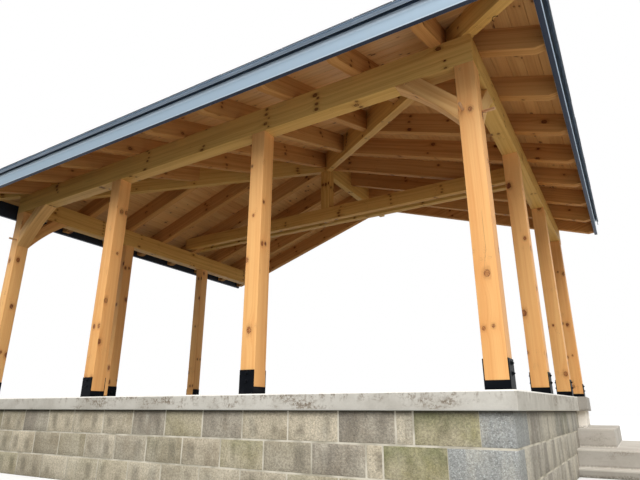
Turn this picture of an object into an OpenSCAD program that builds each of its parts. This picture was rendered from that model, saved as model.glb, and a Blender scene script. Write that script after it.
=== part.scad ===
// Timber porch canopy with a hipped roof, standing on a concrete slab over a block base.
// Millimetres, +Z up. Origin on the ground, in the middle of the block base.
// The front eave faces -Y, the eaves at the sides face -X and +X, and the roof stops at +Y.

/* [Base] */
// width over the outer faces of the posts and of the block base
porch_width = 5768; // [4200:1:7000]
// depth from the front face of the posts to the line where the roof stops
porch_depth = 4900; // [4300:1:6000]
// courses of blocks above the ground
block_courses = 3; // [2:1:5]
// height of a course with its bed joint
course_height = 203.2; // [150:0.1:250]
// thickness of the block walls
wall_thickness = 194; // [140:1:300]
// thickness of the slab at its front edge
slab_thickness = 115; // [90:1:160]
// overhang of the slab beyond the block base
slab_lip = 35; // [10:1:60]
// fall of the top of the slab from where the roof stops to its front edge
slab_fall = 50; // [0:1:80]

/* [Steps] */
// distance from the front of the base to the front of the upper landing
landing_start = 3375; // [2600:1:3800]
// width of the landing beyond the slab at its front end
landing_width = 87; // [60:1:400]
// width of the landing beyond the slab where the roof stops
landing_end_width = 7; // [5:1:400]
// overhang of the landing in front of its support
landing_nose = 60; // [20:1:90]
// how far the upper tread reaches ahead of the landing
upper_ahead = 143; // [100:1:340]
// how far the upper tread reaches out beside the landing
upper_out = 224; // [180:1:340]
// how far the lower tread reaches ahead of the upper one
lower_ahead = 335; // [230:1:360]
// how far the lower tread reaches out beside the upper one
lower_out = 250; // [230:1:360]
// how far the footing reaches ahead of the lower tread
footing_ahead = 117; // [50:1:200]
// how far the footing reaches out beside the lower tread
footing_out = 140; // [50:1:200]
// drop from the underside of the slab to the upper tread
upper_drop = 178; // [120:1:200]
// drop from the upper tread to the lower tread
lower_drop = 182; // [120:1:200]
// height of the footing below the lower tread
footing_height = 80; // [40:1:110]

/* [Posts] */
// side of each square post
post_size = 140; // [100:1:200]
// height from the front edge of the slab to the underside of the beams
clear_height = 2248; // [2050:1:2800]
// height of the steel base under each post
base_height = 52; // [30:1:90]
// height of the base flanges above the foot of the wood
flange_height = 125; // [90:1:200]
// thickness of the base flanges
flange_thickness = 6; // [4:1:10]
// distance between the middles of the two middle posts at the front
middle_bay = 1934; // [1500:1:2400]
// distance from the front of the porch to the front of the second post at each side
second_post = 1564; // [1300:1:1700]
// distance from the front of the porch to the front of the third post at each side
third_post = 3185; // [2900:1:3300]
// distance from the last post at each side to where the roof stops
rear_gap = 80; // [20:1:160]

/* [Beams] */
// depth of the beams on the posts
beam_depth = 235; // [184:1:300]
// depth of the paired tie beams
tie_depth = 184; // [140:1:235]
// height of the tie beams above the beams on the posts
tie_lift = 42; // [0:1:90]
// thickness of each tie beam
tie_thickness = 89; // [60:1:110]
// depth of the ridge beam
ridge_depth = 345; // [286:1:400]

/* [Roof] */
// rise of the roof for each 12 units of run
roof_rise = 4; // [3:0.5:5]
// overhang of the rafters beyond the beams
overhang = 457; // [300:1:600]
// height of the roof boards above the beams at their outer face
heel_height = 187; // [186:1:230]
// width of the rafters, hips and ridge
rafter_width = 89; // [60:1:100]
// distance between the middles of neighbouring front rafters
front_rafter_gap = 661; // [560:1:680]
// distance of the middle front rafter to the left of the middle of the porch
front_rafter_shift = 20; // [0:1:25]
// distance between the middles of neighbouring side rafters
side_rafter_gap = 671; // [560:1:690]
// distance from the peak back to the pair of side rafters that holds the tie beams
side_rafter_shift = 63; // [40:1:70]
// depth of the hip rafters, measured upright
hip_depth = 300; // [260:1:330]
// drop of the rafter tails below the top of the beams, at the beams
tail_drop = 10; // [0:1:30]
// length of the cut under the end of a rafter tail
tail_cut = 73; // [30:1:120]
// rise of the cut under the end of a rafter tail
tail_rise = 8; // [0:1:20]
// length of the cut under the end of a hip tail
hip_cut = 100; // [50:1:160]
// rise of the cut under the end of a hip tail
hip_rise = 12; // [0:1:30]
// thickness of the roof boards
deck_thickness = 19; // [15:1:38]
// thickness of the shingle layer
shingle_thickness = 8; // [6:1:20]
// width of the shingle caps to each side of the hips and of the ridge
cap_width = 130; // [90:1:180]
// thickness of the shingle caps
cap_thickness = 8; // [4:1:12]

/* [Eaves] */
// thickness of the clad fascia boards
fascia_thickness = 38; // [25:1:45]
// height of the outer face of the fascia boards
fascia_height = 147; // [110:1:160]
// drop from the roof boards to the foot of the fascia boards
fascia_drop = 185; // [170:1:200]
// depth of the rebate above the outer face of the fascia boards
fascia_rebate = 22; // [10:1:24]
// distance from the fascia to the outer edge trim
trim_gap = 25; // [15:1:50]
// height of the outer edge trim
trim_height = 53; // [45:1:70]
// thickness of the outer edge trim
trim_thickness = 3; // [2:0.5:4]
// width and height of the hem turned out at the foot of the trim
trim_hem = 8; // [5:1:12]
// overhang of the shingles beyond the trim
shingle_overhang = 18; // [10:1:30]
// width of the flange of the trim that lies on the roof boards
trim_flange = 60; // [30:1:100]
// height of the strip turned up where the roof stops
flashing_height = 90; // [60:1:150]
// thickness of the strip turned up where the roof stops
flashing_thickness = 3; // [2:0.5:5]

/* [Braces] */
// reach of the underside of a knee brace along the beam
brace_reach = 464; // [350:1:600]
// drop of the underside of a knee brace down the post
brace_drop = 450; // [350:1:600]
// reach and drop of the upper edge of a knee brace
brace_inner = 256; // [150:1:300]
// rise of the arch in the underside of a knee brace
brace_arch = 25; // [5:1:60]
// diameter of the wooden pegs
peg_diameter = 22; // [16:1:30]
// length of a peg outside the post
peg_length = 90; // [20:1:120]
// drop from the underside of the beams to the pegs
peg_drop = 372; // [250:1:430]
// distance of the front pegs in from the outer side of the post
front_peg_inset = 106; // [30:1:110]
// distance of the side pegs in from the front of the post
side_peg_inset = 98; // [30:1:110]

/* [Hidden] */
half = porch_width / 2;
y_front = -porch_depth / 2;
y_wall = porch_depth / 2;
y_peak = y_front + half;
base_top = block_courses * course_height;
slab_top = base_top + slab_thickness;
beam_z = slab_top + clear_height;
plate_z = beam_z + beam_depth;
p = roof_rise / 12;
deck0 = plate_z + heel_height;
eave = overhang + fascia_thickness;
edge = eave + trim_gap;
deck_v = deck_thickness * sqrt(1 + p * p);
shingle_v = shingle_thickness * sqrt(1 + p * p);
hip_shift = rafter_width / sqrt(2);
hip_drop = rafter_width / (2 * sqrt(2)) * p;
king_top = deck0 + (half - post_size / 2) * p;
ridge_top = deck0 + (half - rafter_width / 2) * p;
shingle_edge = edge + shingle_overhang;
long = porch_width + porch_depth + 4 * edge;
tall = 2 * ridge_top;
beyond = 2 * edge;
tie_z = plate_z + tie_lift;
tie_top = tie_z + tie_depth;
tie_front = y_peak + side_rafter_shift - rafter_width / 2;
tie_rear = tie_front + rafter_width;
front_y = y_front + post_size / 2;
corner_x = half - post_size / 2;
first_side = y_peak + side_rafter_shift;
rafters_ahead = floor((first_side - y_front) / side_rafter_gap);
rafters_behind = floor((y_wall - 2 * rafter_width - first_side) / side_rafter_gap);
rafters_beside = floor((half - rafter_width - front_rafter_shift) / front_rafter_gap);
side_post_y = [y_front + second_post, y_front + third_post, y_wall - rear_gap - post_size];

// height of the top of the slab at a place along the porch
function slab_z(y) = slab_top + slab_fall * (y - y_front + slab_lip) / (porch_depth + slab_lip);

// height of the foot of the wood of a post
function post_foot(y) = slab_z(y) + base_height;

// height of the underside of the roof boards at a distance in from the beam's outer face
function under(v) = deck0 + v * p;

// frames of the three eaves: x along the eave, y inwards, z up
module at_front() { translate([0, y_front, 0]) children(); }
module at_right() { translate([half, 0, 0]) rotate([0, 0, 90]) children(); }
module at_left() { translate([-half, 0, 0]) rotate([0, 0, -90]) children(); }

// an upright profile drawn in y and z, run along x
module profile(start, length, pts) {
  translate([start, 0, 0]) rotate([90, 0, 90]) linear_extrude(height = length) polygon(pts);
}
// a profile drawn as distance in from the beam and height, run along the eave
module along(pts, length) {
  profile(-length / 2, length, pts);
}

// plan of each roof plane, for the mitres at the hips
module front_plan() {
  linear_extrude(height = tall)
    polygon([[-half - beyond, y_front - beyond], [half + beyond, y_front - beyond], [0, y_peak]]);
}
module right_plan() {
  linear_extrude(height = tall)
    polygon([[0, y_peak], [half + beyond, y_front - beyond], [half + beyond, y_wall], [0, y_wall]]);
}
module left_plan() {
  mirror([1, 0, 0]) right_plan();
}

// plan of the room between the hips for the rafters of each plane
module front_bay() {
  w = half + beyond - hip_shift;
  linear_extrude(height = tall)
    polygon([[-w, y_front - beyond], [w, y_front - beyond], [0, y_peak - hip_shift]]);
}
module right_bay() {
  c = half + beyond;
  linear_extrude(height = tall)
    polygon([[0, y_peak + hip_shift], [c, y_front - beyond + hip_shift], [c, y_wall], [0, y_wall]]);
}

// base, with a slab that falls towards the front
function slab_points() = [[y_front - slab_lip, base_top], [y_wall, base_top], [y_wall, slab_z(y_wall)],
  [y_front - slab_lip, slab_top]];
module slab() {
  color([0.72, 0.71, 0.68]) profile(-half - slab_lip, porch_width + 2 * slab_lip, slab_points());
}
module front_wall() {
  color([0.55, 0.54, 0.5]) translate([-half, y_front, 0]) cube([porch_width, wall_thickness, base_top]);
}
module side_wall() {
  translate([half - wall_thickness, y_front + wall_thickness, 0])
    cube([wall_thickness, porch_depth - 2 * wall_thickness, base_top]);
}
module right_wall() {
  color([0.55, 0.54, 0.5]) side_wall();
}
module left_wall() {
  color([0.55, 0.54, 0.5]) mirror([1, 0, 0]) side_wall();
}
module back_wall() {
  color([0.55, 0.54, 0.5]) translate([-half, y_wall - wall_thickness, 0])
    cube([porch_width, wall_thickness, base_top]);
}
module base_fill() {
  color([0.45, 0.4, 0.35]) translate([-half + wall_thickness, y_front + wall_thickness, 0])
    cube([porch_width - 2 * wall_thickness, porch_depth - 2 * wall_thickness, base_top]);
}
// the landing and its support, which narrow towards the place where the roof stops
module landing_block(side, start, bottom, top) {
  translate([side, 0, bottom]) linear_extrude(height = top - bottom)
    polygon([[0, start], [landing_width, start], [landing_end_width, y_wall], [0, y_wall]]);
}
module step_block(out, ahead, top) {
  start = y_front + landing_start - ahead;
  translate([half, start, 0]) cube([slab_lip + landing_width + out, y_wall - start, top]);
}
module entry_steps() {
  upper_top = base_top - upper_drop;
  lower = [upper_out + lower_out, upper_ahead + lower_ahead];
  color([0.7, 0.68, 0.64]) {
    intersection() {
      landing_block(half + slab_lip, y_front + landing_start, base_top, tall);
      profile(half, landing_width + 2 * slab_lip, slab_points());
    }
    landing_block(half, y_front + landing_start + landing_nose, 0, base_top);
    step_block(upper_out, upper_ahead, upper_top);
    step_block(lower[0], lower[1], upper_top - lower_drop);
    step_block(lower[0] + footing_out, lower[1] + footing_ahead, footing_height);
  }
}

// posts and their steel bases
module post(x, y) {
  translate([x - post_size / 2, y - post_size / 2, post_foot(y)])
    cube([post_size, post_size, beam_z - post_foot(y)]);
}
module corner_posts() {
  color([0.85, 0.62, 0.38]) for (s = [-1, 1]) post(s * corner_x, front_y);
}
module front_posts() {
  color([0.85, 0.62, 0.38]) for (s = [-1, 1]) post(s * middle_bay / 2, front_y);
}
module right_posts() {
  color([0.85, 0.62, 0.38]) for (y = side_post_y) post(corner_x, y + post_size / 2);
}
module left_posts() {
  color([0.85, 0.62, 0.38]) for (y = side_post_y) post(-corner_x, y + post_size / 2);
}
// a steel plate or block with its foot cut to the fall of the slab
module on_slab(x, y, width, depth, top) {
  profile(x, width, [[y, slab_z(y)], [y + depth, slab_z(y + depth)], [y + depth, top], [y, top]]);
}
// stand with two upright flanges, at the sides of the post or in front of it and behind it
module post_base(x, y, turned) {
  side = [x - post_size / 2, y - post_size / 2];
  top = post_foot(y) + flange_height;
  on_slab(side[0], side[1], post_size, post_size, post_foot(y));
  if (turned) {
    on_slab(side[0], side[1] - flange_thickness, post_size, flange_thickness, top);
    on_slab(side[0], side[1] + post_size, post_size, flange_thickness, top);
  } else {
    on_slab(side[0] - flange_thickness, side[1], flange_thickness, post_size, top);
    on_slab(side[0] + post_size, side[1], flange_thickness, post_size, top);
  }
}
module corner_bases() {
  color([0.08, 0.08, 0.09]) for (s = [-1, 1]) post_base(s * corner_x, front_y, false);
}
module front_bases() {
  color([0.08, 0.08, 0.09]) for (s = [-1, 1]) post_base(s * middle_bay / 2, front_y, true);
}
module right_bases() {
  color([0.08, 0.08, 0.09]) for (y = side_post_y) post_base(corner_x, y + post_size / 2, false);
}
module left_bases() {
  color([0.08, 0.08, 0.09]) for (y = side_post_y) post_base(-corner_x, y + post_size / 2, false);
}

// beams
module front_beam() {
  color([0.66, 0.46, 0.25]) translate([-half, y_front, beam_z]) cube([porch_width, post_size, beam_depth]);
}
module side_beam() {
  translate([half - post_size, y_front + post_size, beam_z])
    cube([post_size, porch_depth - post_size, beam_depth]);
}
module right_beam() {
  color([0.66, 0.46, 0.25]) side_beam();
}
module left_beam() {
  color([0.66, 0.46, 0.25]) mirror([1, 0, 0]) side_beam();
}
// the two ties clasp the pair of rafters behind the peak and are cut off under the roof boards
module tie_beams() {
  cut = max(post_size, (tie_top - deck0) / p);
  color([0.66, 0.46, 0.25]) for (y = [tie_front - tie_thickness, tie_rear])
    translate([0, y + tie_thickness, 0]) rotate([90, 0, 0]) linear_extrude(height = tie_thickness)
      polygon([[-half + post_size / 2, tie_z], [half - post_size / 2, tie_z],
        [half - post_size / 2, min(tie_top, under(post_size / 2))], [half - cut, tie_top],
        [-half + cut, tie_top], [-half + post_size / 2, min(tie_top, under(post_size / 2))]]);
}
// king post with a tongue between the ties
module king_post() {
  tongue_front = max(y_peak - post_size / 2, tie_front);
  tongue_rear = min(y_peak + post_size / 2, tie_rear);
  color([0.6, 0.4, 0.2]) {
    translate([-post_size / 2, y_peak - post_size / 2, tie_top])
      cube([post_size, post_size, king_top - tie_top]);
    translate([-post_size / 2, tongue_front, tie_z])
      cube([post_size, tongue_rear - tongue_front, tie_depth]);
  }
}
module ridge_beam() {
  start = y_peak + post_size / 2;
  color([0.6, 0.4, 0.2]) translate([-rafter_width / 2, start, ridge_top - ridge_depth])
    cube([rafter_width, y_wall - start, ridge_depth]);
}

// rafters: one profile for all, cut off at the hips by the plan of the bay
function rafter_points(end) = [
  [-overhang, under(-overhang)], [end, under(end)],
  [end, plate_z + (end - post_size) * p], [post_size, plate_z], [0, plate_z],
  [0, plate_z - tail_drop], [tail_cut - overhang, plate_z - tail_drop + (tail_cut - overhang) * p],
  [-overhang, plate_z - tail_drop + (tail_cut - overhang) * p + tail_rise]];
module rafter(at, end) {
  translate([at, 0, 0]) along(rafter_points(end), rafter_width);
}
module king_hole() {
  translate([-post_size / 2, y_peak - post_size / 2, 0]) cube([post_size, post_size, tall]);
}
module front_rafters() {
  color([0.62, 0.42, 0.22]) intersection() {
    at_front() for (i = [-rafters_beside:rafters_beside])
      rafter(i * front_rafter_gap - front_rafter_shift, half - post_size / 2);
    front_bay();
  }
}
module side_rafters() {
  difference() {
    intersection() {
      at_right() for (i = [-rafters_ahead:rafters_behind])
        rafter(first_side + i * side_rafter_gap, half - rafter_width / 2);
      right_bay();
    }
    king_hole();
  }
}
module right_rafters() {
  color([0.62, 0.42, 0.22]) side_rafters();
}
module left_rafters() {
  color([0.62, 0.42, 0.22]) mirror([1, 0, 0]) side_rafters();
}
module wall_rafters() {
  color([0.62, 0.42, 0.22]) for (s = [0, 1]) mirror([s, 0, 0])
    at_right() rafter(y_wall - rafter_width / 2, half - rafter_width / 2);
}

// hip rafter, drawn along the diagonal from the outer corner of the beams
q = p / sqrt(2);
function hip_points(end) = [
  [-eave * sqrt(2), deck0 - hip_drop - eave * p], [end, deck0 - hip_drop + end * q],
  [end, deck0 - hip_drop - hip_depth + end * q],
  [post_size * sqrt(2), deck0 - hip_drop - hip_depth + post_size * p],
  [post_size * sqrt(2), plate_z], [0, plate_z], [0, plate_z - tail_drop],
  [hip_cut - overhang * sqrt(2), plate_z - tail_drop - overhang * p + hip_cut * q],
  [-eave * sqrt(2), plate_z - tail_drop - overhang * p + hip_cut * q + hip_rise]];
module hip() {
  difference() {
    intersection() {
      translate([half, y_front, 0]) rotate([0, 0, 135])
        rotate([90, 0, 0]) translate([0, 0, -rafter_width / 2])
          linear_extrude(height = rafter_width) polygon(hip_points(half * sqrt(2)));
      translate([0, y_front - overhang, 0]) cube([half + overhang, half + overhang, tall]);
    }
    king_hole();
    translate([0, y_front, beam_z]) cube([half, post_size, beam_depth]);
    translate([half - post_size, y_front, beam_z]) cube([post_size, half, beam_depth]);
  }
}
module right_hip() {
  color([0.66, 0.46, 0.25]) hip();
}
module left_hip() {
  color([0.66, 0.46, 0.25]) mirror([1, 0, 0]) hip();
}

// knee braces, arched on the underside
module brace() {
  l = sqrt(brace_reach * brace_reach + brace_drop * brace_drop);
  r = l * l / (8 * brace_arch) + brace_arch / 2;
  nx = brace_drop / l;
  nz = brace_reach / l;
  cx = brace_reach / 2 + nx * (r - brace_arch);
  cz = brace_drop / 2 + nz * (r - brace_arch);
  difference() {
    translate([0, post_size, 0]) rotate([90, 0, 0]) linear_extrude(height = post_size)
      polygon([[brace_inner, 0], [brace_reach, 0], [0, -brace_drop], [0, -brace_inner]]);
    translate([cx, -1, -cz]) rotate([-90, 0, 0]) cylinder(h = post_size + 2, r = r, $fn = 360);
  }
}
module front_braces() {
  color([0.75, 0.52, 0.28]) for (s = [0, 1]) mirror([s, 0, 0])
    translate([half - post_size, y_front, beam_z]) mirror([1, 0, 0]) brace();
}
module side_braces() {
  color([0.75, 0.52, 0.28]) for (s = [0, 1]) mirror([s, 0, 0])
    translate([half, y_front + post_size, beam_z]) rotate([0, 0, 90]) brace();
}
module pegs() {
  z = beam_z - peg_drop;
  color([0.6, 0.42, 0.24]) for (s = [0, 1]) mirror([s, 0, 0]) {
    translate([half - front_peg_inset, y_front - peg_length, z])
      rotate([-90, 0, 0]) cylinder(h = peg_length, d = peg_diameter, $fn = 48);
    translate([half, y_front + side_peg_inset, z])
      rotate([0, 90, 0]) cylinder(h = peg_length, d = peg_diameter, $fn = 48);
  }
}

// roof boards and shingles
function deck_points() = [[-edge + trim_thickness, under(-edge + trim_thickness)], [half, under(half)],
  [half, under(half) + deck_v], [-edge + trim_thickness, under(-edge + trim_thickness) + deck_v]];
function shingle_points() = [[-shingle_edge, under(-shingle_edge) + deck_v + trim_thickness],
  [-edge + trim_flange, under(-edge + trim_flange) + deck_v + trim_thickness],
  [-edge + trim_flange, under(-edge + trim_flange) + deck_v],
  [half, under(half) + deck_v], [half, under(half) + deck_v + shingle_v],
  [-shingle_edge, under(-shingle_edge) + deck_v + shingle_v]];
module front_deck() {
  color([0.58, 0.38, 0.2]) intersection() {
    at_front() along(deck_points(), long);
    front_plan();
  }
}
module right_deck() {
  color([0.58, 0.38, 0.2]) intersection() {
    at_right() along(deck_points(), long);
    right_plan();
  }
}
module left_deck() {
  color([0.58, 0.38, 0.2]) intersection() {
    at_left() along(deck_points(), long);
    left_plan();
  }
}
module front_shingles() {
  color([0.22, 0.22, 0.24]) intersection() {
    at_front() along(shingle_points(), long);
    front_plan();
  }
}
module right_shingles() {
  color([0.22, 0.22, 0.24]) intersection() {
    at_right() along(shingle_points(), long);
    right_plan();
  }
}
module left_shingles() {
  color([0.22, 0.22, 0.24]) intersection() {
    at_left() along(shingle_points(), long);
    left_plan();
  }
}

// caps over the hips and the ridge, lying on the shingles
function cap_points() = [[-shingle_edge, under(-shingle_edge) + deck_v + shingle_v],
  [half, under(half) + deck_v + shingle_v], [half, under(half) + deck_v + shingle_v + cap_thickness],
  [-shingle_edge, under(-shingle_edge) + deck_v + shingle_v + cap_thickness]];
module hip_band() {
  c = shingle_edge;
  k = cap_width * sqrt(2);
  linear_extrude(height = tall) polygon([
    [half + c, y_front - c], [half + c, y_front - c + k], [cap_width, y_peak + k - cap_width],
    [cap_width, y_peak], [0, y_peak], [0, y_peak - k], [half + c - k, y_front - c]]);
}
module hip_cap() {
  intersection() {
    hip_band();
    union() {
      intersection() {
        at_front() along(cap_points(), long);
        front_plan();
      }
      intersection() {
        at_right() along(cap_points(), long);
        right_plan();
      }
    }
  }
}
module hip_caps() {
  color([0.2, 0.2, 0.22]) for (s = [0, 1]) mirror([s, 0, 0]) hip_cap();
}
module ridge_cap() {
  color([0.2, 0.2, 0.22]) for (s = [0, 1]) mirror([s, 0, 0]) intersection() {
    at_right() along(cap_points(), long);
    translate([0, y_peak, 0]) cube([cap_width, y_wall - y_peak, tall]);
  }
}

// clad fascia and the outer edge trim
fascia_foot = under(-eave) - fascia_drop;
fascia_top = fascia_foot + fascia_height;
function fascia_points() = [[-eave, fascia_foot], [-overhang, fascia_foot], [-overhang, under(-overhang)],
  [-eave + fascia_rebate, under(-eave + fascia_rebate)], [-eave + fascia_rebate, fascia_top],
  [-eave, fascia_top]];
trim_top = under(-edge) + deck_v;
trim_foot = trim_top - trim_height;
hem_inner = trim_thickness * sqrt(2);
function trim_points() = [[-edge, trim_top + trim_thickness], [-edge, trim_foot + trim_hem],
  [-edge - trim_hem, trim_foot], [-edge - trim_hem + hem_inner, trim_foot],
  [-edge + trim_thickness, trim_foot + trim_hem + trim_thickness - hem_inner],
  [-edge + trim_thickness, trim_top + trim_thickness * p],
  [-edge + trim_flange, under(-edge + trim_flange) + deck_v],
  [-edge + trim_flange, under(-edge + trim_flange) + deck_v + trim_thickness]];
module front_fascia() {
  color([0.1, 0.12, 0.13]) intersection() {
    at_front() along(fascia_points(), long);
    front_plan();
  }
}
module right_fascia() {
  color([0.1, 0.12, 0.13]) intersection() {
    at_right() along(fascia_points(), long);
    right_plan();
  }
}
module left_fascia() {
  color([0.1, 0.12, 0.13]) intersection() {
    at_left() along(fascia_points(), long);
    left_plan();
  }
}
module front_trim() {
  color([0.15, 0.17, 0.18]) intersection() {
    at_front() along(trim_points(), long);
    front_plan();
  }
}
module right_trim() {
  color([0.15, 0.17, 0.18]) intersection() {
    at_right() along(trim_points(), long);
    right_plan();
  }
}
module left_trim() {
  color([0.15, 0.17, 0.18]) intersection() {
    at_left() along(trim_points(), long);
    left_plan();
  }
}
// strip turned up where the roof stops
module wall_flashing() {
  s = deck_v + shingle_v;
  inner = half - cap_width;
  color([0.3, 0.31, 0.32]) for (k = [0, 1]) mirror([k, 0, 0]) at_right()
    profile(y_wall - flashing_thickness, flashing_thickness,
      [[-edge, under(-edge) + s], [inner, under(inner) + s],
        [inner, under(inner) + s + flashing_height], [-edge, under(-edge) + s + flashing_height]]);
}

slab();
front_wall();
left_wall();
right_wall();
back_wall();
base_fill();
entry_steps();
corner_posts();
front_posts();
right_posts();
left_posts();
corner_bases();
front_bases();
right_bases();
left_bases();
front_beam();
right_beam();
left_beam();
tie_beams();
king_post();
ridge_beam();
right_hip();
left_hip();
front_rafters();
right_rafters();
left_rafters();
wall_rafters();
front_braces();
side_braces();
pegs();
front_deck();
right_deck();
left_deck();
front_shingles();
right_shingles();
left_shingles();
hip_caps();
ridge_cap();
front_fascia();
right_fascia();
left_fascia();
front_trim();
right_trim();
left_trim();
wall_flashing();
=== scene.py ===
from math import atan, cos, pi, radians, sin
from random import Random

import bmesh
import bpy
from mathutils import Matrix, Vector, noise


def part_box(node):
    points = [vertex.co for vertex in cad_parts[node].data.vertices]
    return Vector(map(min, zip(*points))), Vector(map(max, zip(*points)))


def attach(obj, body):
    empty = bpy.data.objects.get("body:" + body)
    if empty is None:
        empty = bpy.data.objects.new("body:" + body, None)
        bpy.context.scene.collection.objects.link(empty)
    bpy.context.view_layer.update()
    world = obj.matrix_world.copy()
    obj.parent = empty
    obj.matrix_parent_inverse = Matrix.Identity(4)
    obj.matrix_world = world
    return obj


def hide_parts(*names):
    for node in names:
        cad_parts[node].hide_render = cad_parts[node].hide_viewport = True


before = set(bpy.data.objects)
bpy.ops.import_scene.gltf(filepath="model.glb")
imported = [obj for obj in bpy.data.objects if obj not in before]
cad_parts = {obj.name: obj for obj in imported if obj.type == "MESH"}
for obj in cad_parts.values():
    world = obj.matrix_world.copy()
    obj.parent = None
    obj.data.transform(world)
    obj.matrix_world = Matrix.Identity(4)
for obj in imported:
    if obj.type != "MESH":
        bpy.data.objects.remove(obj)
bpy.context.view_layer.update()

scene = bpy.context.scene

# Camera: place in metres, angles in degrees, focal length in pixels
CAMERA_AT = Vector((3.49437, -5.55857, 0.61029))
CAMERA_TURN = 31.157
CAMERA_TILT = 18.700
CAMERA_ROLL = 0.143
FOCAL_PX = 502.90
IMAGE_WIDTH = 640
SENSOR_WIDTH = 36.0


def reach(node, corner, axis):
    """Where a CAD node's box starts (corner 0) or ends (corner 1) along an axis, in metres."""
    return round(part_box(node)[corner]["xyz".index(axis)], 4)


# Base and slab, in metres
HALF_WIDTH = reach("front_wall", 1, "x")
FRONT = reach("front_wall", 0, "y")
BACK = reach("back_wall", 1, "y")
WALL_THICK = round(reach("front_wall", 1, "y") - FRONT, 4)
COURSES = 3
BASE_TOP = reach("front_wall", 1, "z")
COURSE = round(BASE_TOP / COURSES, 4)
BLOCK_PITCH = 2.0 * COURSE
MORTAR = 0.010
SETBACK = 0.002
SLAB_FRONT = reach("slab", 0, "y")
SLAB_DROP = 0.050
SLAB_TOP_FRONT = round(reach("slab", 1, "z") - SLAB_DROP, 4)
SLAB_FALL = SLAB_DROP / (BACK - SLAB_FRONT)

# Posts and their bases, in metres. BOLTS_DOWN is from a flange's top.
POST = round(reach("front_posts", 1, "y") - reach("front_posts", 0, "y"), 4)
POST_FRONT = FRONT + POST / 2
POST_ACROSS = reach("corner_posts", 1, "x") - POST / 2
MIDDLE_POST_ACROSS = reach("front_posts", 1, "x") - POST / 2
SIDE_POSTS = (-0.816, 0.805, 2.300)
FOOT_ABOVE_SLAB = 0.052
FLANGE_HIGH = 0.125
FLANGE_THICK = 0.006
BOLTS_DOWN = (0.027, 0.086)
NUT_ACROSS = 0.019
NUT_HIGH = 0.008
NUT_FOOT = 0.0018

# Roof, in metres. OUT is how far a thing lies beyond the beams' outer faces.
ROOF_RISE = 1.0 / 3.0
SLOPE = atan(ROOF_RISE)
SIN, COS = sin(SLOPE), cos(SLOPE)
PEAK = FRONT + HALF_WIDTH
HEEL = 0.187
BOARDS_AT_BEAM = reach("front_beam", 1, "z") + HEEL
BOARD_THICK = 0.019
BOARD_PITCH = 0.125
FIRST_JOINT_OUT = 0.142
BOARDS_OUT = 0.488
FASCIA_BACK_OUT = 0.458
SHINGLES_OUT = round(FRONT - reach("front_shingles", 0, "y"), 4)
SHINGLE_THICK = 0.008
MOST_LIFT = 0.0006
SHINGLE_TOP = BOARD_THICK + SHINGLE_THICK - MOST_LIFT
EXPOSURE = 0.143
CAP_WIDE = 0.130
RAFTER_PITCH_FRONT = 0.661
RAFTER_SHIFT_FRONT = -0.020
RAFTER_PITCH_SIDE = 0.671
RAFTER_SHIFT_SIDE = 0.497
FASCIA_FOOT = reach("front_fascia", 0, "z")
FASCIA_HIGH = 0.147
TRIM_HIGH = 0.053
TRIM_TOP = reach("front_trim", 0, "z") + TRIM_HIGH


def slab_top(y):
    return SLAB_TOP_FRONT + SLAB_FALL * (y - SLAB_FRONT)


def tint(red, green, blue):
    """A colour on a screen, 0 to 255, as an amount of light."""
    def one(c):
        c /= 255.0
        return c / 12.92 if c <= 0.04045 else ((c + 0.055) / 1.055) ** 2.4
    return (one(red), one(green), one(blue))


# Shader sums

class Value:
    """One number or colour that a material works out, written as an ordinary sum."""

    def __init__(self, shader, socket):
        self.shader = shader
        self.socket = socket

    def sum(self, operation, *others, swap=False):
        terms = [self, *others]
        if swap:
            terms.reverse()
        return self.shader.node("Math", {"operation": operation}, dict(enumerate(terms)))["Value"]

    def __add__(self, other):
        return self.sum("ADD", other)

    def __sub__(self, other):
        return self.sum("SUBTRACT", other)

    def __rsub__(self, other):
        return self.sum("SUBTRACT", other, swap=True)

    def __mul__(self, other):
        return self.sum("MULTIPLY", other)

    def __truediv__(self, other):
        return self.sum("DIVIDE", other)

    def __rtruediv__(self, other):
        return self.sum("DIVIDE", other, swap=True)

    def __pow__(self, other):
        return self.sum("POWER", other)

    def __rpow__(self, other):
        return self.sum("POWER", other, swap=True)

    def __neg__(self):
        return self.sum("MULTIPLY", -1.0)

    __radd__ = __add__
    __rmul__ = __mul__

    def least(self, other):
        return self.sum("MINIMUM", other)

    def most(self, other):
        return self.sum("MAXIMUM", other)

    def above(self, other):
        return self.sum("GREATER_THAN", other)

    def sign(self):
        return self.sum("SIGN")

    def wave(self):
        return self.sum("SINE")

    def part(self):
        return self.sum("FRACT")

    def whole(self):
        return self.sum("FLOOR")

    def step(self, start, end):
        """0 up to start, 1 from end on, smooth between them. Start may be the larger one."""
        return self.shader.node("MapRange", {"interpolation_type": "SMOOTHSTEP"},
                                {"Value": self, "From Min": start, "From Max": end})["Result"]


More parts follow.
